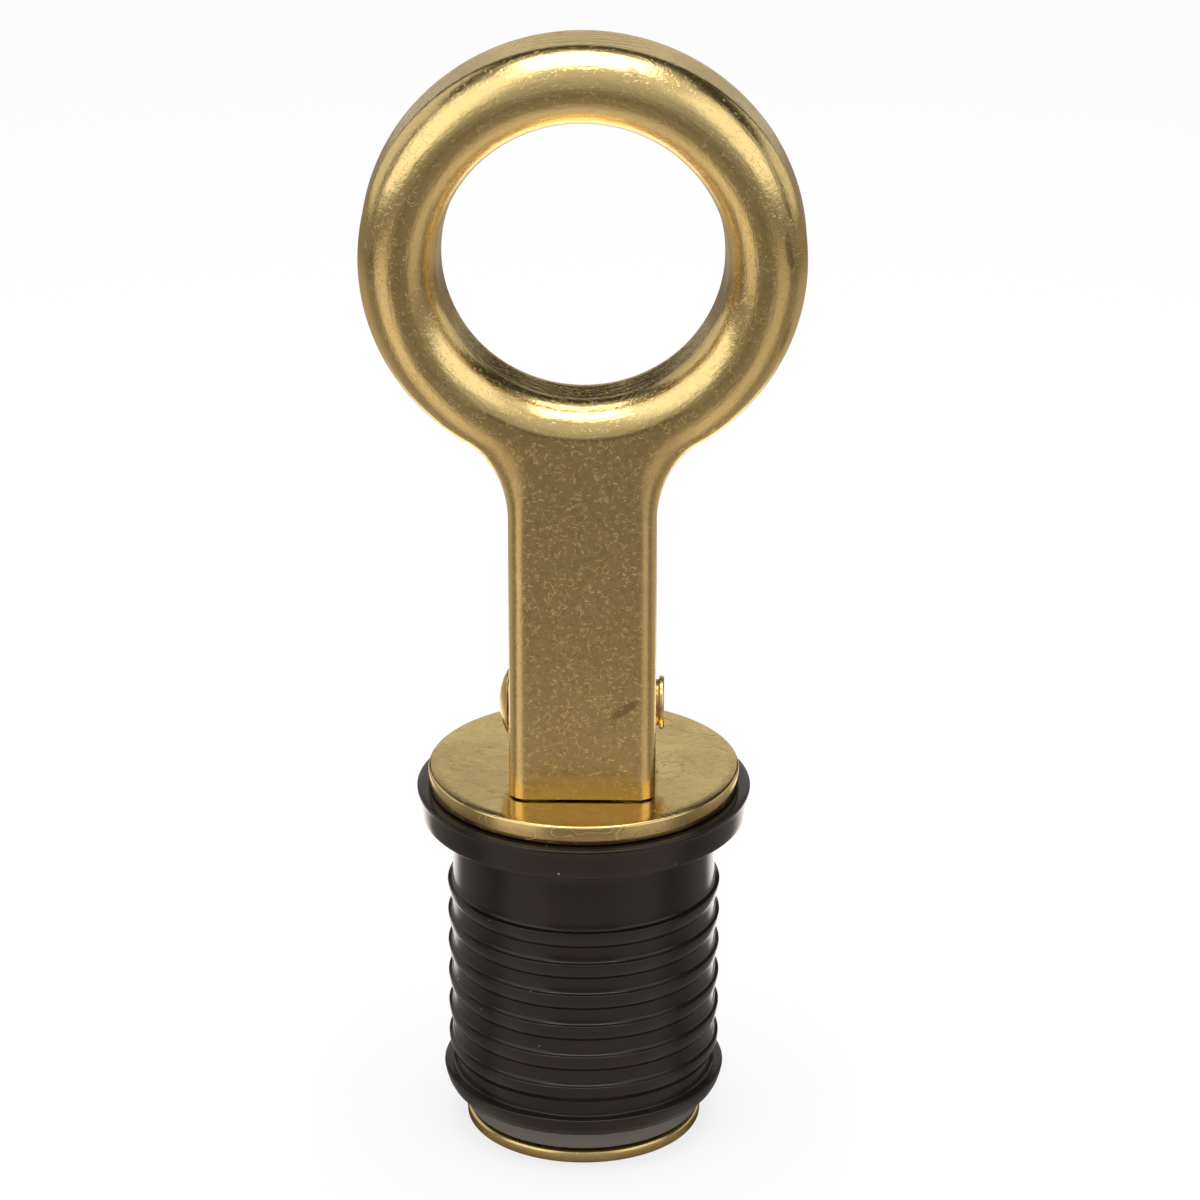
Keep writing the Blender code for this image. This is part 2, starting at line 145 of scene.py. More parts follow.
class RubberSizes(PropertyGroup):
    flange_radius: length("Flange radius", "Radius of the thin lip on the flange", 0.01531)
    flange_rim: length("Flange rim", "Radius of the flange under its lip", 0.01505)
    flange_foot: length("Flange foot", "Radius of the flange's lower edge", 0.01484)
    flange_thickness: length("Flange thickness", "Height of the flange", 0.00304)
    lip_thickness: length("Lip thickness", "Height of the flange's thin lip", 0.0004)
    neck_radius: length("Neck radius", "Radius of the smooth neck", 0.01205)
    rib_radius: length("Rib radius", "Radius of the ribs' sharp edges", 0.0126)
    root_radius: length("Rib root", "Radius of the body between the ribs", 0.01212)
    rib_pitch: length("Rib pitch", "Distance from rib to rib", 0.00313)
    rib_fall: length("Rib fall", "Height over which a rib dies out", 0.0016)
    bead_radius: length("Bead radius", "Radius of the thick lowest bead", 0.01307)
    lip_radius: length("Lower lip", "Radius of the body's lower edge", 0.01243)
    collar_radius: length("Collar radius", "Radius of the collar over the foot washer", 0.0110)
    collar_height: length("Collar height", "Height of the collar", 0.00224)
    bead_height: length("Bead height", "Height of the thick lowest bead", 0.00179)
    ribs: IntProperty(name="Ribs", description="Number of ribs", default=6, min=1)


class TurnedSizes(PropertyGroup):
    rod_radius: length("Rod radius", "Radius of the draw rod", 0.003)
    clearance: length("Clearance", "Gap between pieces that move on each other", 0.0003)
    eye_radius: length("Eye radius", "Radius of the rod's cross-drilled eye", 0.0043)
    pin_radius: length("Rivet radius", "Radius of the rivet's shank", 0.0021)
    head_radius: length("Head radius", "Radius of the rivet's domed head", 0.0030)
    head_height: length("Head height", "Height of the rivet's domed head", 0.0008)
    burr_radius: length("Closing head radius", "Radius of the closing head", 0.00243)
    burr_height: length("Closing head height", "Height of the closing head", 0.00045)
    top_round: length("Washer edge", "Rounding of the top washer's rim", 0.0003)
    foot_round: length("Foot washer edge", "Rounding of the foot washer's rim", 0.0004)
    sink_radius: length("Sink radius", "Radius of the foot washer's countersink", 0.0047)
    sink_depth: length("Sink depth", "Depth of the foot washer's countersink", 0.0009)


class Finishes(PropertyGroup):
    bright: colour("Bright brass", "Brass where it is rubbed bright", (0.74, 0.555, 0.235))
    dull: colour("Dull brass", "Brass where it has dulled", (0.50, 0.355, 0.150))
    stain: colour("Stain", "Brown stain in the dulled brass", (0.21, 0.14, 0.07))
    rubber: colour("Rubber", "Moulded rubber", (0.013, 0.0098, 0.0088))
    # Painted sheen: the collar's pale grey stands in for the glossy reflection along it.
    chalk: colour("Chalk", "Chalky bloom on the rubber's collar", (0.20, 0.19, 0.17))
    dust: colour("Dust", "Pale dust on the rubber", (0.42, 0.40, 0.37))
    grazing: colour("Grazing tint", "Tint of brass seen at a glancing angle", (1.0, 0.92, 0.78))


class StudioSettings(PropertyGroup):
    focal: FloatProperty(
        name="Focal length",
        description="Camera focal length in millimetres",
        default=153.53,
        min=1.0,
        unit="CAMERA",
    )
    distance: length("Camera distance", "Camera distance in front of the axis", 0.42896)
    height: length("Camera height", "Camera height over the floor", 0.22877)
    pitch: FloatProperty(
        name="Pitch",
        description="How far the camera looks down",
        default=math.radians(22.4),
        subtype="ANGLE",
        unit="ROTATION",
    )
    turn: FloatProperty(
        name="Turn",
        description="How far the camera stands round to the right",
        default=math.radians(1.0),
        subtype="ANGLE",
        unit="ROTATION",
    )
    softbox: FloatProperty(
        name="Softbox",
        description="Power of the overhead softbox in watts",
        default=2.65,
        min=0.0,
        unit="POWER",
    )


# Meshes from grids of points


def smooth_step(value):
    """Goes from 0 to 1 as three squares less two cubes of the value, held flat outside."""
    inside = np.clip(value, 0.0, 1.0)
    return inside * inside * (3 - 2 * inside)


def weld_grids(name, grids, outward=True):
    """One mesh of the cells between neighbouring rows and columns of each grid of points.

    Borders that lie on each other are welded, and collapsed cells at a pole are dropped.
    """
    points, cells, start = [], [], 0
    for grid in grids:
        rows, columns = grid.shape[:2]
        index = start + np.arange(rows * columns).reshape(rows, columns)
        corners = (index[:-1, :-1], index[:-1, 1:], index[1:, 1:], index[1:, :-1])
        cells.append(np.stack(corners, axis=-1).reshape(-1, 4))
        points.append(grid.reshape(-1, 3))
        start += rows * columns
    mesh = bpy.data.meshes.new(name)
    mesh.from_pydata(np.concatenate(points).tolist(), [], np.concatenate(cells).tolist())
    form = bmesh.new()
    form.from_mesh(mesh)
    bmesh.ops.remove_doubles(form, verts=form.verts, dist=WELD)
    if outward:
        bmesh.ops.recalc_face_normals(form, faces=form.faces)
    form.to_mesh(mesh)
    form.free()
    return mesh


def rounded(corners, steps=6):
    """A section through (radius, height, rounding) corners, each rounded by a tangent arc.

    The arc starts and ends the rounding times the tangent of half the turn from the corner.
    """
    table = np.array(corners, dtype=float)
    section = [table[0, :2]]
    for before, here, after in zip(table[:-2], table[1:-1], table[2:]):
        into = here[:2] - before[:2]
        out = after[:2] - here[:2]
        into_length, out_length = np.hypot(*into), np.hypot(*out)
        into, out = into / into_length, out / out_length
        turn = math.acos(float(np.clip(into @ out, -1.0, 1.0)))
        reach = here[2] * math.tan(turn / 2)
        reach = min(reach, into_length * 0.48, out_length * 0.48)
        if reach <= 0:
            section.append(here[:2])
            continue
        radius = reach / math.tan(turn / 2)
        side = np.array([-into[1], into[0]]) * np.sign(into[0] * out[1] - into[1] * out[0])
        centre = here[:2] - into * reach + side * radius
        angles = np.linspace(0.0, turn, steps + 1)[:, None]
        section.extend(centre - side * radius * np.cos(angles) + into * radius * np.sin(angles))
    section.append(table[-1, :2])
    return np.array(section)


def closed_section(bore, middle, corners, steps=6):
    """A rounded section that starts and ends on its bore's wall, at the middle height."""
    end = (bore, middle, 0)
    return rounded((end, *corners, end), steps)


def finer(section, step):
    """The same section with its long runs divided into parts no longer than the step."""
    parts = []
    for start, end in zip(section[:-1], section[1:]):
        count = max(1, math.ceil(float(np.hypot(*(end - start))) / step))
        parts.append(start + (end - start) * np.arange(count)[:, None] / count)
    parts.append(section[-1:])
    return np.concatenate(parts)


def spun(section, segments):
    """The section carried round Z: x is r cos t, y is r sin t and z stays, for t over a turn."""
    turns = np.arange(segments + 1) % segments * math.tau / segments
    r, z = section[:, 0, None], section[:, 1, None]
    return np.stack([r * np.cos(turns), r * np.sin(turns), z + 0 * turns], axis=-1)


def lay_along_x(grid):
    """Turns a form spun about Z so that its height runs along +X, and lifts it to the rivet."""
    x, y, z = grid[..., 0], grid[..., 1], grid[..., 2]
    return np.stack([z, y, PIN_Z - x], axis=-1)


def vertex_array(mesh):
    points = np.empty(len(mesh.vertices) * 3, dtype=np.float32)
    mesh.vertices.foreach_get("co", points)
    return points.reshape(-1, 3)


def store_mask(mesh, name, values):
    """Keeps one number for each vertex, which materials read by its name."""
    layer = mesh.attributes.new(name, "FLOAT", "POINT")
    layer.data.foreach_set("value", np.asarray(values, dtype=np.float32))


def new_object(name, data):
    made = bpy.data.objects.new(name, data)
    bpy.context.scene.collection.objects.link(made)
    return made


def add_piece(name, mesh, finish, body, node, sharp=35.0):
    """Links a finished piece, dresses it, and lets it stand for the solid that it replaces."""
    mesh.shade_smooth()
    mesh.set_sharp_from_angle(angle=math.radians(sharp))
    mesh.materials.append(finish)
    piece = new_object(name, mesh)
    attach(piece, body)
    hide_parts(node)
    return piece


# The pressed handle, in its own frame with the rivet's axis at the origin


def handle_plan(sizes):
    """Lengths that follow from the handle's sizes and from the solids around it."""
    plan = SimpleNamespace()
    for key in HandleSizes.__annotations__:
        setattr(plan, key, getattr(sizes, key))
    plan.stem_half = plan.stem_width / 2
    plan.foot_drop = PIN_Z - float(HANDLE_BOX[0, 2])
    plan.cam_rate = plan.draw / (math.pi / 2)
    plan.ear_depth = plan.foot_drop + plan.draw
    plan.bead_half = (plan.ring_radius - plan.hole_radius) / 2
    plan.crest_radius = plan.hole_radius + plan.bead_half
    plan.join_radius = plan.crest_radius + plan.join_reach
    cut = 1 - plan.bead_proud / plan.bead_crown
    plan.cut_radius = plan.crest_radius - plan.bead_half * math.sqrt(1 - cut * cut)
    plan.shoulder_y = plan.bead_crown - plan.bead_proud - plan.web_reach
    plan.skirt_y = plan.shoulder_y + plan.skirt_depth
    plan.lip_y = plan.shoulder_y + plan.lip_depth
    plan.neck_x = plan.stem_half + plan.neck_fillet
    both = plan.ring_radius + plan.neck_fillet
    plan.neck_angle = math.acos(plan.neck_x / both)
    plan.neck_z = plan.ring_rise - both * math.sin(plan.neck_angle)
    plan.neck_top_z = plan.ring_rise - plan.ring_radius * math.sin(plan.neck_angle)
    plan.junction = math.radians(50)
    return plan


def edge_distance(plan, x, z):
    """Distance in from the outline: from the stem's side, the neck's fillet or the ring."""
    across, up = np.abs(x) - plan.neck_x, z - plan.neck_z
    beside = (plan.ring_rise - plan.neck_z) * -across - plan.neck_x * up
    by_fillet = np.hypot(across, up) - plan.neck_fillet
    by_ring = plan.ring_radius - np.hypot(x, z - plan.ring_rise)
    return np.where(up <= 0, plan.stem_half - np.abs(x), np.where(beside > 0, by_fillet, by_ring))


def rounded_drop(distance, width, height):
    """A quarter ellipse of that width and height: how far an edge lies back at a distance in."""
    left = 1 - np.clip(distance / width, 0.0, 1.0)
    return height * (1 - np.sqrt(np.clip(1 - left * left, 0.0, 1.0)))


def front_y(plan, x, z):
    """The outer face: a ring bead whose crest is cut level by the stem's flat web.

    The edge's quarter ellipse widens from the stem's bend to half the bead over the neck. The
    cut holds below the ring's centre and fades out to both sides of the stem.
    """
    radius = np.hypot(x, z - plan.ring_rise)
    neck = smooth_step((z - plan.neck_z) / (plan.neck_top_z - plan.neck_z))
    width = plan.edge_round + (plan.bead_half - plan.edge_round) * neck
    height = plan.edge_round + (plan.bead_crown - plan.edge_round) * neck
    bead = rounded_drop(radius - plan.hole_radius, plan.bead_half, plan.bead_crown)
    bead = np.maximum(bead, plan.bead_proud * stem_share(plan, x, z))
    drop = bead + rounded_drop(edge_distance(plan, x, z), width, height)
    return drop - plan.web_reach - plan.bead_proud


def stem_share(plan, x, z):
    """1 where the stem's flat web lies, fading to 0 beside it and above the ring's centre."""
    beside = smooth_step((np.abs(x) - plan.flat_half) / plan.flat_spread)
    return np.where(z < plan.ring_rise, 1 - beside, 0.0)


def column_shares(plan, edge_steps=16, web_steps=16):
    """Shares of the stem's half width from its edge in, closer together round the bend."""
    edge = plan.edge_round / plan.stem_half
    bend = edge * (1 - np.cos(math.pi / 2 * np.arange(edge_steps + 1) / edge_steps))
    return np.concatenate([bend, edge + (1 - edge) * np.arange(1, web_steps + 1) / web_steps])


def stem_rows(plan):
    """Heights of the stem's rows with each wall's back edge: cam, straight ear, then sweep.

    At every fold angle the cam reaches past the rivet's axis, towards the washer, by the foot's
    drop plus the cam rate times that angle.
    """
    fold = math.pi / 2 * np.arange(CAM_STEPS + 1) / CAM_STEPS
    reach = plan.foot_drop + plan.cam_rate * fold
    cam_z = plan.cam_rate * np.sin(fold) - reach * np.cos(fold)
    cam_y = reach * np.sin(fold) + plan.cam_rate * np.cos(fold)
    ear_z = np.linspace(cam_z[-1], plan.ear_rise, EAR_STEPS + 1)[1:]
    sweep_z = np.linspace(plan.ear_rise, plan.neck_z, SWEEP_STEPS + 1)[1:]
    share = smooth_step((sweep_z - plan.ear_rise) / (plan.neck_z - plan.ear_rise))
    sweep_y = plan.ear_depth + (plan.skirt_y - plan.ear_depth) * share
    heights = np.concatenate([cam_z, ear_z, sweep_z])
    return heights, np.concatenate([cam_y, np.full(len(ear_z), plan.ear_depth), sweep_y])


def outline_points(plan, lengths):
    """Points on the neck's outline: up round the fillet, then on along the ring's edge."""
    fillet = plan.neck_fillet * plan.neck_angle
    turn = lengths / plan.neck_fillet
    on_fillet_x = plan.neck_x - plan.neck_fillet * np.cos(turn)
    on_fillet_z = plan.neck_z + plan.neck_fillet * np.sin(turn)
    angle = plan.neck_angle - (lengths - fillet) / plan.ring_radius
    on_ring_x = plan.ring_radius * np.cos(angle)
    on_ring_z = plan.ring_rise - plan.ring_radius * np.sin(angle)
    first = lengths <= fillet
    x = np.where(first, on_fillet_x, on_ring_x)
    return np.stack([x, np.where(first, on_fillet_z, on_ring_z)], axis=-1)


def junction_points(plan, shares):
    """Where the stem's rows end: from the ring's outer edge in to the bead, at each share."""
    angle = plan.junction + (math.pi / 2 - plan.junction) * shares
    radius = plan.ring_radius
    radius = radius - (plan.ring_radius - plan.join_radius) * np.sin(math.pi / 2 * shares)
    x = np.where(shares >= 1, 0.0, radius * np.cos(angle))
    return np.stack([x, plan.ring_rise - radius * np.sin(angle)], axis=-1)


def neck_points(plan, shares, steps=36):
    """A patch blended between its four borders: outline, middle line, stem and junction.

    Each point is the mean across plus the mean along, less the mean of the four corners.
    """
    rise = (np.arange(steps + 1) / steps)[:, None, None]
    share = shares[None, :, None]
    run = plan.neck_fillet * plan.neck_angle
    run += plan.ring_radius * (plan.neck_angle - plan.junction)
    outer = outline_points(plan, run * rise[:, 0, 0])[:, None, :]
    low_outer, low_middle = np.array([plan.stem_half, plan.neck_z]), np.array([0.0, plan.neck_z])
    top = junction_points(plan, shares)[None, :, :]
    middle = low_middle + (top[0, -1] - low_middle) * rise
    low = low_outer + (low_middle - low_outer) * share
    across = outer + (middle - outer) * share
    along = low + (top - low) * rise
    corners = low + (top[:, :1] + (top[:, -1:] - top[:, :1]) * share - low) * rise
    points = across + along - corners
    points[:, -1, 0] = 0.0
    return points


def ring_points(plan, angles, outer_radii, steps=30):
    """Points across the ring at each angle below its side, from its outer edge to its hole."""
    half = math.pi / 2 * np.arange(steps + 1) / steps
    outer = plan.crest_radius + (outer_radii[:, None] - plan.crest_radius) * np.cos(half[:-1])
    inner = plan.crest_radius - plan.bead_half * np.sin(half)
    radius = np.concatenate([outer, np.tile(inner, (len(angles), 1))], axis=1)
    x = radius * np.cos(angles)[:, None]
    return np.stack([x, plan.ring_rise - radius * np.sin(angles)[:, None]], axis=-1)


def on_face(plan, points):
    """Lifts flat (x, z) points onto the outer face."""
    x, z = points[..., 0], points[..., 1]
    return np.stack([x, front_y(plan, x, z), z], axis=-1)


def wall_grid(edge, back_y):
    """A wall from the face's edge straight back, in equal steps along Y."""
    back = edge.copy()
    back[:, 1] = back_y
    return between(edge, back, WALL_STEPS)


def lip_grid(plan, edge):
    """The finger hole's wall, its back edge scaled in towards the ring's centre by the draft."""
    centre = np.array([0.0, 0.0, plan.ring_rise])
    back = centre + (edge - centre) * (1 - plan.lip_draft / plan.hole_radius)
    back[:, 1] = plan.lip_y
    return between(edge, back, LIP_STEPS)


def between(edge, back, steps):
    """Rows of points in equal steps on the straight lines from one edge to another."""
    share = (np.arange(steps + 1) / steps)[None, :, None]
    return edge[:, None, :] + (back - edge)[:, None, :] * share


def handle_grids(plan):
    """The right half's outer face: stem, neck, ring and the walls behind their edges."""
    shares = column_shares(plan)
    heights, back_y = stem_rows(plan)
    x = plan.stem_half * (1 - shares)[None, :] + 0 * heights[:, None]
    stem = on_face(plan, np.stack([x, heights[:, None] + 0 * x], axis=-1))
    neck = on_face(plan, neck_points(plan, shares))
    angles = plan.junction + (math.pi / 2 - plan.junction) * shares
    ends = junction_points(plan, shares)
    outer = np.hypot(ends[:, 0], ends[:, 1] - plan.ring_rise)
    low_ring = on_face(plan, ring_points(plan, angles, outer))
    low_ring[:, 0] = neck[-1]
    rest = plan.junction - (plan.junction + math.pi / 2) * np.arange(RING_STEPS + 1) / RING_STEPS
    ring = on_face(plan, ring_points(plan, rest, np.full(len(rest), plan.ring_radius)))
    walls = [wall_grid(stem[:, 0], back_y), wall_grid(neck[:, 0], plan.skirt_y)]
    walls.append(wall_grid(ring[:, 0], plan.skirt_y))
    lips = [lip_grid(plan, low_ring[:, -1]), lip_grid(plan, ring[:, -1])]
    return [stem, neck, low_ring, ring, *walls, *lips]


def pressed_sheet(plan):
    """Both halves as one open sheet: the half's points and the same with x turned over."""
    half = handle_grids(plan)
    other = [grid[:, ::-1] * np.array([-1.0, 1.0, 1.0]) for grid in half]
    mesh = weld_grids("pressed_handle", half + other)
    points = vertex_array(mesh).astype(float)
    normals = np.empty(len(points) * 3, dtype=np.float32)
    mesh.vertex_normals.foreach_get("vector", normals)
    front = points[:, 1] < -plan.web_reach + 0.0001
    if normals.reshape(-1, 3)[front, 1].mean() > 0:
        mesh.flip_normals()
    x, y, z = points.T
    inside = edge_distance(plan, x, z)
    radius = np.hypot(x, z - plan.ring_rise)
    bend = smooth_step(1.15 - inside / (plan.edge_round * 1.1))
    beside = smooth_step((y + plan.web_reach - plan.edge_round) / (plan.edge_round / 2))
    past_join = (radius - plan.cut_radius) / plan.edge_round
    flat = stem_share(plan, x, z) * smooth_step(past_join * 6)
    on_ring = smooth_step((z - plan.neck_z) / (plan.neck_top_z - plan.neck_z))
    bead = (1 - flat) * on_ring
    # Painted reflection: along the bottom of the stem's front face the brass is made bright,
    # standing in for the foot washer's reflection. It shares one mask with the worn-bright bead and
    # bends.
    foot = 0.85 * smooth_step((0.0024 - plan.foot_drop - z) / 0.0003) * (y < plan.shoulder_y)
    rubbed = np.maximum(np.maximum(bend * (1 - beside), bead), foot)
    store_mask(mesh, "rubbed", np.clip(rubbed, 0, 1))
    # Painted shade: a thin dark line in the crease where the flat web meets the bead.
    store_mask(mesh, "join", stem_share(plan, x, z) * np.exp(-((past_join * 9 - 0.6) ** 2)))
    # Painted shade: the finger hole's wall and inner edge are darkened in place of the dark
    # reflection there, which also dims the brass-to-brass reflection round the edge.
    into_hole = smooth_step((y - plan.shoulder_y) / plan.sheet + 1.6)
    by_hole = smooth_step(2 - (radius - plan.hole_radius) / plan.sheet)
    store_mask(mesh, "tarnish", into_hole * by_hole)
    mesh.vertices.foreach_set("co", (points + np.array([0.0, 0.0, PIN_Z])).ravel())
    return mesh


# Shader nodes


class Value:
    """The output of a shader node, which adds, subtracts, multiplies and divides like a number."""

    def __init__(self, tree, socket):
        self.tree, self.socket = tree, socket

    def __add__(self, other):
        return maths("ADD", self, other)

    def __sub__(self, other):
        return maths("SUBTRACT", self, other)

    def __rsub__(self, other):
        return maths("SUBTRACT", other, self)

    def __mul__(self, other):
        return maths("MULTIPLY", self, other)

    def __truediv__(self, other):
        return maths("DIVIDE", self, other)

    __radd__, __rmul__ = __add__, __mul__


def feed(slot, value):
    """Links a Value into an input, or sets the input to a number, a vector or a solid colour."""
    if isinstance(value, Value):
        value.tree.links.new(value.socket, slot)
    elif slot.type == "RGBA":
        slot.default_value = (*value[:3], 1.0)
    else:
        slot.default_value = value


def add_node(tree, kind, given=(), output=0, **settings):
    """A new node with its inputs given in turn, or by key. Gives one output or a list of them."""
    made = tree.nodes.new(kind)
    for key, value in settings.items():
        setattr(made, key, value)
    for key, value in given.items() if isinstance(given, dict) else enumerate(given):
        feed(made.inputs[key], value)
    if isinstance(output, tuple):
        return [Value(tree, made.outputs[key]) for key in output]
    return Value(tree, made.outputs[output])


def tree_of(*given):
    """The node tree of the first Value among the given ones."""
    return next(value.tree for value in given if isinstance(value, Value))


def maths(operation, *given):
    """A Math node on Values and plain numbers."""
    return add_node(tree_of(*given), "ShaderNodeMath", given, operation=operation)


def maximum(first, *others):
    """The largest of several Values at each place."""
    for value in others:
        first = maths("MAXIMUM", first, value)
    return first


def hypotenuse(first, second):
    """The square root of the sum of both squares."""
    return maths("SQRT", first * first + second * second)


def split(vector):
    """The x, y and z of a vector."""
    return add_node(vector.tree, "ShaderNodeSeparateXYZ", (vector,), (0, 1, 2))


def blend(share, first, second):
    """Mixes two numbers by a share."""
    given = {0: share, 2: first, 3: second}
    return add_node(tree_of(*given.values()), "ShaderNodeMix", given, data_type="FLOAT")


def blend_colours(share, first, second, mode="MIX"):
    """Mixes two colours by a share."""
    given = {0: share, 6: first, 7: second}
    tree = tree_of(*given.values())
    return add_node(tree, "ShaderNodeMix", given, 2, data_type="RGBA", blend_type=mode)


def spread(value, low, high, start=0.0, end=1.0):
    """A smooth Map Range of a Value from low and high to start and end."""
    given = (value, low, high, start, end)
    return add_node(value.tree, "ShaderNodeMapRange", given, interpolation_type="SMOOTHSTEP")


def noise(place, scale, detail=2.0, roughness=0.5, distortion=0.0):
    """A 3-D noise of features one metre over the scale wide, with its output near 0 to 1."""
    keys = ("Vector", "Scale", "Detail", "Roughness", "Distortion")
    given = dict(zip(keys, (place, scale, detail, roughness, distortion)))
    return add_node(place.tree, "ShaderNodeTexNoise", given, noise_dimensions="3D")


def shifted(place, offset):
    """The place moved by an offset, so that copies of a pattern don't line up."""
    return add_node(place.tree, "ShaderNodeMapping", {"Vector": place, "Location": offset})


# Effects that materials share, each a node group


def cloudy_dulling(place, cloud_scale, grain_scale, cover):
    """Cloudy dulling of brass: broad clouds, small patches and fine grains, each a noise."""
    clouds = noise(place, cloud_scale, 5.0, 0.62, 0.6)
    patches = noise(shifted(place, (0.3, 0.1, 0.7)), 520.0, 4.0, 0.65, 0.9)
    grains = noise(place, grain_scale, 3.0, 0.7)
    level = 1.0 - cover
    mixed = blend(0.4, clouds, patches) + (grains - 0.5) * 0.35
    dull = spread(mixed, level - 0.16, level + 0.16)
    spots = noise(shifted(place, (0.9, 0.4, 0.2)), 900.0, 3.0, 0.6, 0.4)
    return dull, spread(spots * patches, 0.30, 0.42), grains


def short_hairlines(place, scale, width, share):
    """Short curved hairlines: the narrow band where a noise crosses its middle value.

    A second, finer noise breaks the lines into short lengths.
    """
    off = maths("ABSOLUTE", noise(place, scale, 2.0, 0.55, 0.8) - 0.5)
    breaks = noise(shifted(place, (0.5, 0.8, 0.3)), scale * 1.7, 2.0)
    level = 1.0 - share
    return (spread(off, 0.0, width, 1.0, 0.0) * spread(breaks, level, level + 0.08),)


def turned_arcs(place, fineness, share):
    """Scuffs left by turning: fine rings about Z, broken up by a noise into short arcs."""
    x, y, _ = split(place)
    sway = noise(place, 190.0, 3.0) * 9.0
    wave = maths("SINE", hypotenuse(x, y) * fineness + sway)
    level = 1.0 - share
    kept = spread(noise(place, 330.0, 4.0, 0.6), level, level + 0.14)
    return (spread(wave, 0.1, 1.0) * kept,)


def ring_streaks(place, rise, fineness, drawn_out):
    """Polishing streaks round the finger ring: a noise drawn out along the turn about its centre.

    The turn is taken without its sign, so that the two sides meet without a seam.
    """
    x, y, z = split(place)
    up = z - rise
    turn = maths("ABSOLUTE", maths("ARCTAN2", x, up))
    given = (hypotenuse(x, up), y, turn * drawn_out)
    return (noise(add_node(place.tree, "ShaderNodeCombineXYZ", given), fineness, 4.0, 0.62, 0.3),)


def frayed_stroke(place, middle, tilt, reach):
    """One gouge or scuff: a thin ellipsoid about its middle, with its edge broken by a noise."""
    given = (place, middle, tilt, reach)
    laid = add_node(place.tree, "ShaderNodeMapping", given, vector_type="TEXTURE")
    off = add_node(place.tree, "ShaderNodeVectorMath", (laid,), "Value", operation="LENGTH")
    edge = off + noise(place, 1500.0, 3.0, 0.6) * 0.7
    return (spread(edge, 0.9, 1.4, 1.0, 0.0),)


def sparse_specks(place, scale, size, share):
    """Sparse specks: the cores of a cell pattern, kept only where a random value is high."""
    given = {"Vector": place, "Scale": scale}
    off, cell = add_node(
        place.tree, "ShaderNodeTexVoronoi", given, ("Distance", "Color"), feature="F1"
    )
    chance = add_node(place.tree, "ShaderNodeSeparateColor", (cell,))
    kept = maths("GREATER_THAN", chance, 1.0 - share)
    return (spread(off, size * 0.5, size, 1.0, 0.0) * kept,)


# Each effect's maker, its inputs beside the place (None for a vector) and its outputs.
EFFECTS = {
    "Brass dulling": (
        cloudy_dulling,
        {"Cloud scale": 160.0, "Grain scale": 2600.0, "Cover": 0.5},
        ("Dull", "Stain", "Grain"),
    ),
    "Hairline scratches": (
        short_hairlines,
        {"Scale": 420.0, "Width": 0.012, "Share": 0.5},
        ("Scratch",),
    ),
    "Turning scuffs": (turned_arcs, {"Fineness": 5200.0, "Share": 0.5}, ("Scuff",)),
    "Polishing streaks": (
        ring_streaks,
        {"Rise": 0.086, "Fineness": 2200.0, "Length": 0.003},
        ("Streak",),
    ),
    "Worn stroke": (frayed_stroke, {"Middle": None, "Tilt": None, "Reach": None}, ("Stroke",)),
    "Dust specks": (sparse_specks, {"Scale": 600.0, "Size": 0.16, "Share": 0.06}, ("Speck",)),
}


def shared_group(name):
    """An effect's node group, which is built the first time that it is asked for."""
    group = bpy.data.node_groups.get(name)
    if group:
        return group
    group = bpy.data.node_groups.new(name, "ShaderNodeTree")
    maker, inputs, outputs = EFFECTS[name]
    for key, default in {"Place": None, **inputs}.items():
        kind = "NodeSocketVector" if default is None else "NodeSocketFloat"
        socket = group.interface.new_socket(name=key, in_out="INPUT", socket_type=kind)
        if default is not None:
            socket.default_value = default
    for key in outputs:
        group.interface.new_socket(name=key, in_out="OUTPUT", socket_type="NodeSocketFloat")
    given = add_node(group, "NodeGroupInput", output=("Place", *inputs))
    add_node(group, "NodeGroupOutput", maker(*given), ())
    return group


def effect(name, place, **values):
    """Places a shared effect with its own values. Gives its output, or a list of several."""
    given = {key.replace("_", " ").capitalize(): value for key, value in values.items()}
    given["Place"] = place
    outputs = EFFECTS[name][2]
    made = add_node(place.tree, "ShaderNodeGroup", given, outputs, node_tree=shared_group(name))
    return made if len(made) > 1 else made[0]


# Materials


def new_material(name):
    """A material with its Principled shader, and the object's own coordinates."""
    made = bpy.data.materials.new(name)
    made.use_nodes = True
    return made, add_node(made.node_tree, "ShaderNodeTexCoord", output="Object")


def mask(place, name):
    """A mask that was stored on the piece's mesh."""
    return add_node(place.tree, "ShaderNodeAttribute", output="Fac", attribute_name=name)


def finish_surface(height, depth, inputs):
    """Feeds the Principled shader, with a Bump of the height times the depth for its normal."""
    bump = add_node(height.tree, "ShaderNodeBump", {"Height": height, "Distance": depth})
    for key, value in {**inputs, "Normal": bump}.items():
        feed(height.tree.nodes["Principled BSDF"].inputs[key], value)


def finish_brass(tones, tint, rough, height, depth):
    """Metal with a tint of its own at glancing angles."""
    inputs = {"Base Color": tint, "Metallic": 1.0, "Specular Tint": tones.grazing}
    finish_surface(height, depth, {**inputs, "Roughness": rough})


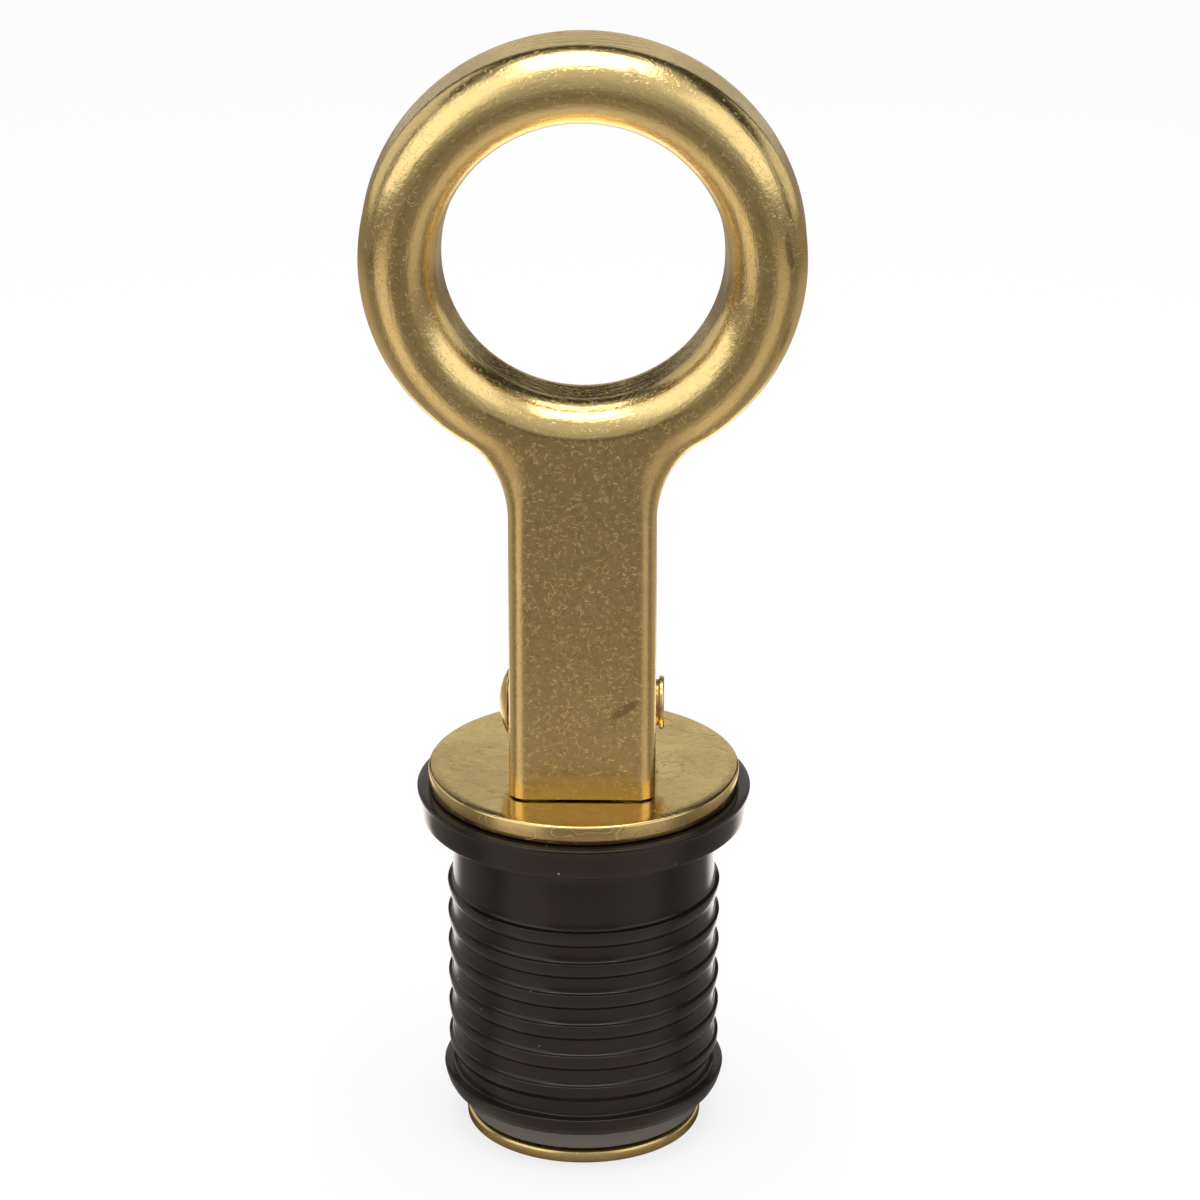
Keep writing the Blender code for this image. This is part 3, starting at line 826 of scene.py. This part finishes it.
def worn_strokes(place):
    """The strongest of the handle's gouge and scuffs at each place.

    A stroke has its middle, its tilt about Y in degrees, its half sizes along its own X, Y and
    Z, and its tone.
    """
    strokes = (
        ((0.00385, -0.0087, 0.04493), -37.0, (0.00190, 0.0012, 0.00052), 0.75),
        ((-0.00160, -0.0088, 0.07223), 8.0, (0.00180, 0.0012, 0.00026), 0.6),
        ((0.00430, -0.0080, 0.10408), 25.0, (0.00075, 0.0012, 0.00032), 0.6),
        ((0.01790, -0.0083, 0.08820), -7.0, (0.00036, 0.0012, 0.00200), 0.75),
        ((0.01774, -0.0077, 0.08000), 19.0, (0.00028, 0.0012, 0.00170), 0.5),
    )
    marks = []
    for middle, tilt, reach, tone in strokes:
        turn = (0.0, math.radians(tilt), 0.0)
        marks.append(effect("Worn stroke", place, middle=middle, tilt=turn, reach=reach) * tone)
    return maximum(*marks)


def pressed_brass(tones, ring_z):
    """Satin pressed brass: dulled flat faces, and a bead and bends that are worn bright.

    The mesh's masks say where it is worn bright, with a painted reflection of the foot washer
    along the stem's foot; where painted shade darkens the crease where the web meets the bead;
    and where painted shade darkens the wall of the finger hole and its inner edge.
    """
    made, place = new_material("pressed_brass")
    rubbed, join, tarnish = (mask(place, name) for name in ("rubbed", "join", "tarnish"))
    dull, stain, grain = effect("Brass dulling", place, cloud_scale=150.0, cover=0.52)
    apart = shifted(place, (0.2, 0.0, 0.4))
    fine = effect("Hairline scratches", place, scale=1300.0, width=0.032, share=0.5)
    long = effect("Hairline scratches", apart, scale=260.0, width=0.005, share=0.42)
    scratches = maximum(fine, long)
    scuff = worn_strokes(place)
    polish = (effect("Polishing streaks", place, rise=ring_z) - 0.5) * rubbed
    dull_share = 1.0 - rubbed * 0.86
    base = blend(0.5, dull_share, dull * dull_share)
    tint = blend_colours(base, tones.bright, tones.dull)
    tint = blend_colours(dull_share, tint, spread(grain, 0.3, 0.7, 0.86, 1.08), "MULTIPLY")
    # The stain colour here carries real stains and scuffs, and also painted shade along the crease
    # at the web's edge and on the finger hole's wall.
    dirt_and_shade = maximum(join * 0.35, stain * dull_share * 0.25, tarnish * 0.42, scuff)
    tint = blend_colours(dirt_and_shade, tint, tones.stain)
    tint = blend_colours(scratches * (dull_share * 0.9), tint, tones.bright)
    rough = blend(base, 0.13, 0.36) + grain * 0.04 + polish * 0.22 + scuff * 0.2
    dents = noise(place, 240.0, 3.0, 0.55) * 3.5
    sunk = scratches * blend(rubbed, 0.9, 0.6)
    height = grain * blend(rubbed, 1.0, 1.3) + polish * 2.4 + dents - sunk
    finish_brass(tones, tint, rough, height, 0.000012)
    return made


def washer_brass(tones, name, cover):
    """Flat brass with turning scuffs, curved hairlines and a brown stain towards its rim."""
    made, place = new_material(name)
    dull, stain, grain = effect("Brass dulling", place, cloud_scale=120.0, cover=cover)
    apart = shifted(place, (0.1, 0.6, 0.2))
    arcs = effect("Turning scuffs", place, fineness=6500.0, share=0.42)
    lines = effect("Hairline scratches", place, scale=170.0, width=0.007, share=0.6)
    fine = effect("Hairline scratches", apart, scale=700.0, width=0.016, share=0.4)
    marks = maximum(lines, fine * 0.7, arcs * 0.3)
    tint = blend_colours(blend(dull, 0.0, 0.30), tones.bright, tones.dull)
    tint = blend_colours(maximum(mask(place, "rim") * 0.6, stain * 0.18), tint, tones.stain)
    tint = blend_colours(marks * 0.5, tint, tones.bright)
    finish_brass(tones, tint, 0.13 + dull * 0.07, grain * 0.6 - marks, 0.000008)
    return made


def turned_brass(tones):
    """Turned brass for the rivet and rod: fine scratches in a light dulling."""
    made, place = new_material("turned_brass")
    dull, stain, grain = effect("Brass dulling", place, cloud_scale=260.0, cover=0.45)
    fine = effect("Hairline scratches", place, scale=900.0, width=0.02, share=0.5)
    base = 0.12 + dull * 0.6
    tint = blend_colours(base, tones.bright, tones.dull)
    tint = blend_colours(stain * 0.3, tint, tones.stain)
    finish_brass(tones, tint, 0.22 + base * 0.15, grain - fine, 0.000002)
    return made


def moulded_rubber(tones):
    """Semi-gloss black rubber: faint mould bloom, fine skin texture and a few pale specks."""
    made, place = new_material("moulded_rubber")
    bloom = noise(place, 140.0, 4.0, 0.6, 0.5)
    skin = noise(place, 2400.0, 3.0, 0.6)
    apart = shifted(place, (0.4, 0.2, 0.1))
    large = effect("Dust specks", place, scale=520.0, size=0.10, share=0.035)
    small = effect("Dust specks", apart, scale=1300.0, size=0.12, share=0.03)
    specks = maximum(large, small * 0.6)
    lifted = tuple(min(1.0, 1.35 * part) for part in tones.rubber)
    tint = blend_colours(spread(bloom, 0.35, 0.7), tones.rubber, lifted)
    # Painted sheen: the collar is made pale grey in place of its glossy reflection.
    tint = blend_colours(mask(place, "chalk"), tint, tones.chalk)
    tint = blend_colours(specks * 0.8, tint, tones.dust)
    rough = 0.12 + spread(bloom, 0.3, 0.75) * 0.10 + specks * 0.3
    inputs = {"Base Color": tint, "Roughness": rough, "Metallic": 0.0, "IOR": 1.38}
    inputs["Specular Tint"] = (1.0, 0.94, 0.88)
    finish_surface(skin * 0.25 + specks, 0.000010, inputs)
    return made


# Operators, one for each piece


class PLUG_OT_pressed_handle(Operator):
    """Adds the pressed ring handle with its channel stem and cam ears"""

    bl_idname = "plug.pressed_handle"
    bl_label = "Pressed handle"

    def execute(self, context):
        sizes = context.scene.plug_handle
        plan = handle_plan(sizes)
        mesh = pressed_sheet(plan)
        finish = pressed_brass(context.scene.plug_finishes, PIN_Z + plan.ring_rise)
        piece = add_piece("pressed_handle", mesh, finish, "lever", "handle")
        wall = piece.modifiers.new("sheet thickness", "SOLIDIFY")
        wall.thickness = plan.sheet
        wall.offset = -1
        wall.use_even_offset = True
        wall.use_quality_normals = True
        edge = piece.modifiers.new("cut edges", "BEVEL")
        edge.width = plan.cut_edge
        edge.segments = 2
        edge.limit_method = "ANGLE"
        edge.angle_limit = math.radians(50)
        return {"FINISHED"}


class PLUG_OT_rivet(Operator):
    """Adds the rivet with its domed head and thin closing head"""

    bl_idname = "plug.rivet"
    bl_label = "Rivet"

    def execute(self, context):
        sizes = context.scene.plug_turned
        seat = context.scene.plug_handle.stem_width / 2 + sizes.clearance
        radius = (sizes.head_radius**2 + sizes.head_height**2) / (2 * sizes.head_height)
        half = math.asin(sizes.head_radius / radius)
        turn = np.linspace(0.0, half, 14)
        crown = seat + sizes.head_height
        dome = np.stack([radius * np.sin(turn), radius - crown - radius * np.cos(turn)], axis=-1)
        dome[-1, 0] -= 0.00003
        face = seat + sizes.burr_height
        rest = rounded(
            (
                (sizes.head_radius, -seat - 0.00004, 0),
                (sizes.head_radius, -seat, 0.00004),
                (sizes.pin_radius, -seat, 0.00008),
                (sizes.pin_radius, seat, 0.00008),
                (sizes.burr_radius, seat, 0.00006),
                (sizes.burr_radius, face, 0.0002),
                (0.0, face, 0),
            )
        )
        section = np.concatenate([dome, rest])
        mesh = weld_grids("rivet", [lay_along_x(spun(section, 72))])
        finish = turned_brass(context.scene.plug_finishes)
        add_piece("rivet", mesh, finish, "lever", "pivot_pin")
        return {"FINISHED"}


class PLUG_OT_eyed_rod(Operator):
    """Adds the draw rod with its cross-drilled eye and spread end"""

    bl_idname = "plug.eyed_rod"
    bl_label = "Eyed rod"

    def execute(self, context):
        sizes = context.scene.plug_turned
        bore = sizes.rod_radius + sizes.clearance
        slope = (sizes.sink_radius - bore) / sizes.sink_depth
        foot = float(ROD_BOX[0, 2])
        spread_top = sizes.sink_depth - sizes.clearance
        spread_end = sizes.rod_radius + (spread_top - foot) * slope
        eye_half = float(ROD_BOX[1, 0] - ROD_BOX[0, 0]) / 2
        hole = sizes.pin_radius + sizes.clearance
        shaft = rounded(
            (
                (0.0, foot, 0),
                (spread_end, foot, 0.0001),
                (sizes.rod_radius, spread_top, 0.0001),
                (sizes.rod_radius, PIN_Z - sizes.eye_radius + 0.0008, 0.0001),
                (0.0, PIN_Z - sizes.eye_radius + 0.0008, 0),
            )
        )
        ring = (
            (hole, -eye_half, 0.0001),
            (sizes.eye_radius, -eye_half, 0.0004),
            (sizes.eye_radius, eye_half, 0.0004),
            (hole, eye_half, 0.0001),
        )
        eye = closed_section(hole, 0.0, ring)
        grids = [spun(finer(shaft, 0.002), 72), lay_along_x(spun(eye, 96))]
        mesh = weld_grids("eyed_rod", grids)
        finish = turned_brass(context.scene.plug_finishes)
        add_piece("eyed_rod", mesh, finish, "rod", "draw_rod")
        return {"FINISHED"}


def washer_mesh(name, section, segments):
    """A washer's mesh, with each point's distance from the plug's axis and its height."""
    mesh = weld_grids(name, [spun(finer(section, 0.0008), segments)])
    x, y, z = vertex_array(mesh).T
    return mesh, np.hypot(x, y), z


class PLUG_OT_top_washer(Operator):
    """Adds the wide brass washer that the cam ears press on"""

    bl_idname = "plug.top_washer"
    bl_label = "Top washer"

    def execute(self, context):
        sizes = context.scene.plug_turned
        bore = sizes.rod_radius + sizes.clearance
        low, high = TOP_WASHER_BOX[:, 2]
        # A little thicker than the solid, so that the gaps look as thin as the real ones.
        low, high = low - sizes.clearance * 0.8, high + sizes.clearance * 0.4
        radius = float(TOP_WASHER_BOX[1, 0])
        corners = (
            (bore, low, 0.0001),
            (radius, low, sizes.top_round),
            (radius, high, sizes.top_round),
            (bore, high, 0.00015),
        )
        section = closed_section(bore, (low + high) / 2, corners)
        mesh, reach, height = washer_mesh("seat_washer", section, 192)
        below = smooth_step((high - 0.0002 - height) / 0.0006)
        edge = smooth_step((reach - radius + 0.0012) / 0.0010)
        store_mask(mesh, "rim", np.clip(0.35 * edge + 0.6 * below * edge, 0, 1))
        finish = washer_brass(context.scene.plug_finishes, "top_washer_finish", 0.50)
        add_piece("seat_washer", mesh, finish, "head", "top_washer")
        return {"FINISHED"}


class PLUG_OT_moulded_body(Operator):
    """Adds the moulded rubber body with its flange, ribs, bead and collar"""

    bl_idname = "plug.moulded_body"
    bl_label = "Moulded body"

    def execute(self, context):
        sizes = context.scene.plug_rubber
        turned = context.scene.plug_turned
        foot, top = RUBBER_BOX[:, 2]
        bore = turned.rod_radius + turned.clearance
        under = top - sizes.flange_thickness
        lip = top - sizes.lip_thickness
        corners = [
            (bore, top, 0.0001),
            (sizes.flange_radius, top, 0.00012),
            (sizes.flange_radius, lip, 0.00015),
            (sizes.flange_rim, lip - 0.0001, 0.0002),
            (sizes.flange_foot, under, 0.0003),
            (sizes.neck_radius, under, 0.0015),
        ]
        collar_top = foot + sizes.collar_height
        bead_z = collar_top + sizes.bead_height
        rise = np.array([0.0, 0.25, 0.5, 0.68, 0.82, 0.93, 1.0])
        for i in range(sizes.ribs, 0, -1):
            edge_z = bead_z + i * sizes.rib_pitch
            inner = sizes.neck_radius if i == sizes.ribs else sizes.root_radius
            corners.append((inner + 0.00006, edge_z + 0.00018, 0.0005))
            corners.append((sizes.rib_radius, edge_z, 0.00012))
            swell = sizes.rib_radius - sizes.root_radius
            for share in rise[1:]:
                drop = swell * share**2.4
                corners.append((sizes.rib_radius - drop, edge_z - sizes.rib_fall * share, 0.0012))
        waist = sizes.bead_radius - sizes.lip_radius
        corners += [
            (sizes.root_radius, bead_z + 0.00003, 0.00015),
            (sizes.bead_radius, bead_z, 0.00012),
            (sizes.bead_radius - waist * 0.2, bead_z - sizes.bead_height * 0.33, 0.0005),
            (sizes.bead_radius - waist * 0.5, bead_z - sizes.bead_height * 0.67, 0.0005),
            (sizes.lip_radius, collar_top, 0.00018),
            (sizes.collar_radius, collar_top, 0.0003),
            (sizes.collar_radius, foot, 0.0003),
            (bore, foot, 0.0002),
        ]
        section = finer(closed_section(bore, (foot + top) / 2, corners, 3), 0.0006)
        mesh = weld_grids("moulded_body", [spun(section, 216)])
        # Marks the collar for the painted sheen.
        store_mask(mesh, "chalk", smooth_step((collar_top - vertex_array(mesh)[:, 2]) / 0.0003))
        finish = moulded_rubber(context.scene.plug_finishes)
        piece = add_piece("moulded_body", mesh, finish, "plug", "rubber_plug", 50)
        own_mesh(piece)
        return {"FINISHED"}


class PLUG_OT_foot_washer(Operator):
    """Adds the small brass washer that squeezes the rubber from below"""

    bl_idname = "plug.foot_washer"
    bl_label = "Foot washer"

    def execute(self, context):
        sizes = context.scene.plug_turned
        bore = sizes.rod_radius + sizes.clearance
        high = float(FOOT_WASHER_BOX[1, 2])
        radius = float(FOOT_WASHER_BOX[1, 0])
        corners = (
            (bore, sizes.sink_depth, 0.00005),
            (sizes.sink_radius, 0.0, 0.00015),
            (radius, 0.0, sizes.foot_round),
            (radius, high, sizes.foot_round),
            (bore, high, 0.0001),
        )
        section = closed_section(bore, (sizes.sink_depth + high) / 2, corners)
        mesh, reach, _ = washer_mesh("foot_washer", section, 160)
        store_mask(mesh, "rim", 0.30 * smooth_step((reach - radius + 0.0008) / 0.0006))
        finish = washer_brass(context.scene.plug_finishes, "foot_washer_finish", 0.62)
        add_piece("foot_washer", mesh, finish, "rod", "bottom_washer")
        return {"FINISHED"}


# The studio: its floor, back sheet, surroundings, light and camera


def bare_tree(owner):
    """The emptied node tree of a material or a world."""
    owner.use_nodes = True
    owner.node_tree.nodes.clear()
    return owner.node_tree


def floor_tone_and_light(x, y, reach, outer, back):
    """How pale the floor is, with painted light: a bright pool about the plug, brightest behind
    it, a dim far part with two painted patches of light ahead to the left and right, and a rim.

    Back is 1 straight behind the plug and -1 straight ahead of it. A lobe lies along its own
    direction.
    """
    near = spread(back, -0.6, -0.2, 0.68, 0.30) + spread(back, 0.56, 0.75, 0.0, 0.70)
    far = spread(back, -0.2, 0.4, 0.24, 0.45) * spread(reach, 0.22, 0.32, 1.0, 0.62)
    for towards_x, towards_y, brightness in ((-0.71, -0.70, 0.60), (0.70, -0.71, 0.34)):
        along = x * towards_x + y * towards_y
        far = far + spread(along / outer, 0.91, 0.99, 0.0, brightness)
    tone = blend(spread(reach, 0.04, 0.13), near, far)
    return blend(spread(reach, 0.38, 0.42), tone, 0.38)


def pale_floor_material():
    """A pale matt floor that the camera sees near white, with the plug's soft shadow kept.

    Its tone falls off ahead of the plug, a painted falloff of light. Close behind the plug it
    glows white to mirrors, though it is no lamp.
    """
    made = bpy.data.materials.new("pale_floor")
    tree = bare_tree(made)
    x, y, _ = split(add_node(tree, "ShaderNodeTexCoord", output="Object"))
    reach = hypotenuse(x, y)
    outer = maths("MAXIMUM", reach, 0.001)
    back = y / outer
    tone = floor_tone_and_light(x, y, reach, outer, back)
    warm = add_node(tree, "ShaderNodeCombineColor", [tone * part for part in FLOOR_WARMTH])
    paths = ("Is Camera Ray", "Is Glossy Ray")
    by_camera, by_mirror = add_node(tree, "ShaderNodeLightPath", output=paths)
    white = spread(back, 0.62, 0.82, 0.0, 0.9) * spread(reach, 0.09, 0.15, 1.0, 0.0)
    shine = add_node(tree, "ShaderNodeEmission", {"Strength": white * by_mirror})
    diffuse = add_node(tree, "ShaderNodeBsdfDiffuse", {"Color": warm})
    matt = add_node(tree, "ShaderNodeAddShader", (diffuse, shine))
    pale = add_node(tree, "ShaderNodeBsdfDiffuse", {"Color": (0.92, 0.92, 0.92)})
    glow = add_node(tree, "ShaderNodeEmission", {"Color": WHITE})
    seen = add_node(tree, "ShaderNodeMixShader", (SHADOW_SHARE, glow, pale))
    chosen = add_node(tree, "ShaderNodeMixShader", (by_camera, matt, seen))
    add_node(tree, "ShaderNodeOutputMaterial", (chosen,), ())
    return made


def seen_level(tree, mirrored):
    """What the camera sees is plain white, mirrors see the given level, other light is even."""
    paths = ("Is Camera Ray", "Is Glossy Ray", "Is Transmission Ray")
    by_camera, glossy, clear = add_node(tree, "ShaderNodeLightPath", output=paths)
    return blend(by_camera, blend(maximum(glossy, clear), 0.60, mirrored), 1.0)


def back_sheet_material():
    """A white sheet that hangs low behind the plug."""
    made = bpy.data.materials.new("back_sheet")
    tree = bare_tree(made)
    given = {"Color": WHITE, "Strength": seen_level(tree, 0.80)}
    add_node(tree, "ShaderNodeOutputMaterial", (add_node(tree, "ShaderNodeEmission", given),), ())
    return made


def lay_card(level, turn, rise, middle, half, soft, bright, slant=0.0):
    """Lays one soft-edged card over the level around it.

    Its middle, its half width and half height, and its soft edges are in degrees, across and up.
    The slant tilts its upper and lower edges.
    """
    across = turn - middle[0]
    up = rise - middle[1] - across * slant
    inside = 1.0
    for off, reach, edge in zip((across, up), half, soft):
        inside = spread(maths("ABSOLUTE", off), reach - edge, reach + edge, 1.0, 0.0) * inside
    return blend(inside, level, bright)


def studio_world():
    """A studio's surroundings: dark gaps, pale side walls and two large softboxes ahead.

    Turns are measured from ahead, with the left negative. Behind, a dark gap brightens upwards.
    """
    world = bpy.data.worlds.new("studio")
    bpy.context.scene.world = world
    tree = bare_tree(world)
    x, y, z = split(add_node(tree, "ShaderNodeTexCoord", output="Generated"))
    turn = maths("ARCTAN2", x, y * -1.0) * math.degrees(1.0)
    rise = maths("ARCSINE", z) * math.degrees(1.0)
    ahead = spread(rise, -20.0, 78.0, 0.33, 0.98)
    behind = spread(rise, 41.0, 75.0, 0.06, 1.15)
    level = blend(spread(y, -0.05, 0.15), ahead, behind)
    for card in (
        ((-88, 0), (8, 30), (4, 6), 0.28),
        ((87, -3), (7, 15), (4, 5), 0.13),
        ((-124, 14), (26, 22), (4, 5), 0.86),
        ((122, 5), (26, 14), (4, 5), 0.88),
        ((-54, 31), (27, 28), (9, 2.5), 1.6),
        ((57, 24), (25, 19), (9, 4), 1.5, 0.15),
    ):
        level = lay_card(level, turn, rise, *card)
    given = {"Color": WHITE, "Strength": seen_level(tree, level)}
    add_node(tree, "ShaderNodeOutputWorld", (add_node(tree, "ShaderNodeBackground", given),), ())


class PLUG_OT_stage(Operator):
    """Adds the pale floor, the soft light and the camera"""

    bl_idname = "plug.stage"
    bl_label = "Stage"

    def execute(self, context):
        settings = context.scene.plug_studio
        disc = np.array([(0.0, 0.0), (1.0, 0.0), (FLOOR_RADIUS, 0.0)])
        mesh = weld_grids("floor", [spun(disc, 96)])
        mesh.materials.append(pale_floor_material())
        floor = new_object("floor", mesh)
        floor.location.z = -FLOOR_DROP
        edge = np.array(SHEET_EDGE)
        hung = np.stack([edge * np.array([-1.0, 1.0, 1.0]), edge], axis=1)
        mesh = weld_grids("back_sheet", [hung], outward=False)
        mesh.materials.append(back_sheet_material())
        sheet = new_object("back_sheet", mesh)
        studio_world()
        lamp = bpy.data.lights.new("softbox", "AREA")
        lamp.shape = "RECTANGLE"
        lamp.size, lamp.size_y = SOFTBOX_SIZE
        lamp.energy = settings.softbox
        box = new_object("softbox", lamp)
        box.location = SOFTBOX_PLACE
        box.visible_camera = False
        eye = bpy.data.cameras.new("camera")
        eye.lens = settings.focal
        eye.sensor_width = SENSOR_WIDTH
        eye.shift_x = CAMERA_SHIFT
        eye.clip_start = 0.01
        camera = new_object("camera", eye)
        turn = settings.turn
        camera.location = (
            settings.distance * math.sin(turn),
            -settings.distance * math.cos(turn),
            settings.height,
        )
        camera.rotation_euler = (math.pi / 2 - settings.pitch, 0.0, turn)
        context.scene.camera = camera
        context.scene.view_settings.view_transform = "Standard"
        return {"FINISHED"}


class PLUG_PT_panel(Panel):
    """Lists the plug's sizes, finishes and pieces"""

    bl_idname = "PLUG_PT_panel"
    bl_label = "Drain plug"
    bl_space_type = "VIEW_3D"
    bl_region_type = "UI"
    bl_category = "Drain plug"

    def draw(self, context):
        layout = self.layout
        for key, kind in GROUPS.items():
            box = layout.box()
            box.label(text=kind.bl_rna.name)
            settings = getattr(context.scene, key)
            for name in kind.__annotations__:
                box.prop(settings, name)
        for piece in PIECES:
            layout.operator(piece.bl_idname)


GROUPS = {
    "plug_handle": HandleSizes,
    "plug_rubber": RubberSizes,
    "plug_turned": TurnedSizes,
    "plug_finishes": Finishes,
    "plug_studio": StudioSettings,
}
PIECES = (
    PLUG_OT_pressed_handle,
    PLUG_OT_rivet,
    PLUG_OT_eyed_rod,
    PLUG_OT_top_washer,
    PLUG_OT_moulded_body,
    PLUG_OT_foot_washer,
    PLUG_OT_stage,
)


def register():
    for kind in (*GROUPS.values(), *PIECES, PLUG_PT_panel):
        bpy.utils.register_class(kind)
    for key, kind in GROUPS.items():
        setattr(bpy.types.Scene, key, PointerProperty(type=kind))


def unregister():
    for key in GROUPS:
        delattr(bpy.types.Scene, key)
    for kind in (PLUG_PT_panel, *PIECES, *GROUPS.values()):
        bpy.utils.unregister_class(kind)


def main():
    register()
    bpy.ops.plug.pressed_handle()
    bpy.ops.plug.rivet()
    bpy.ops.plug.eyed_rod()
    bpy.ops.plug.top_washer()
    bpy.ops.plug.moulded_body()
    bpy.ops.plug.foot_washer()
    bpy.ops.plug.stage()


if __name__ == "__main__":
    main()
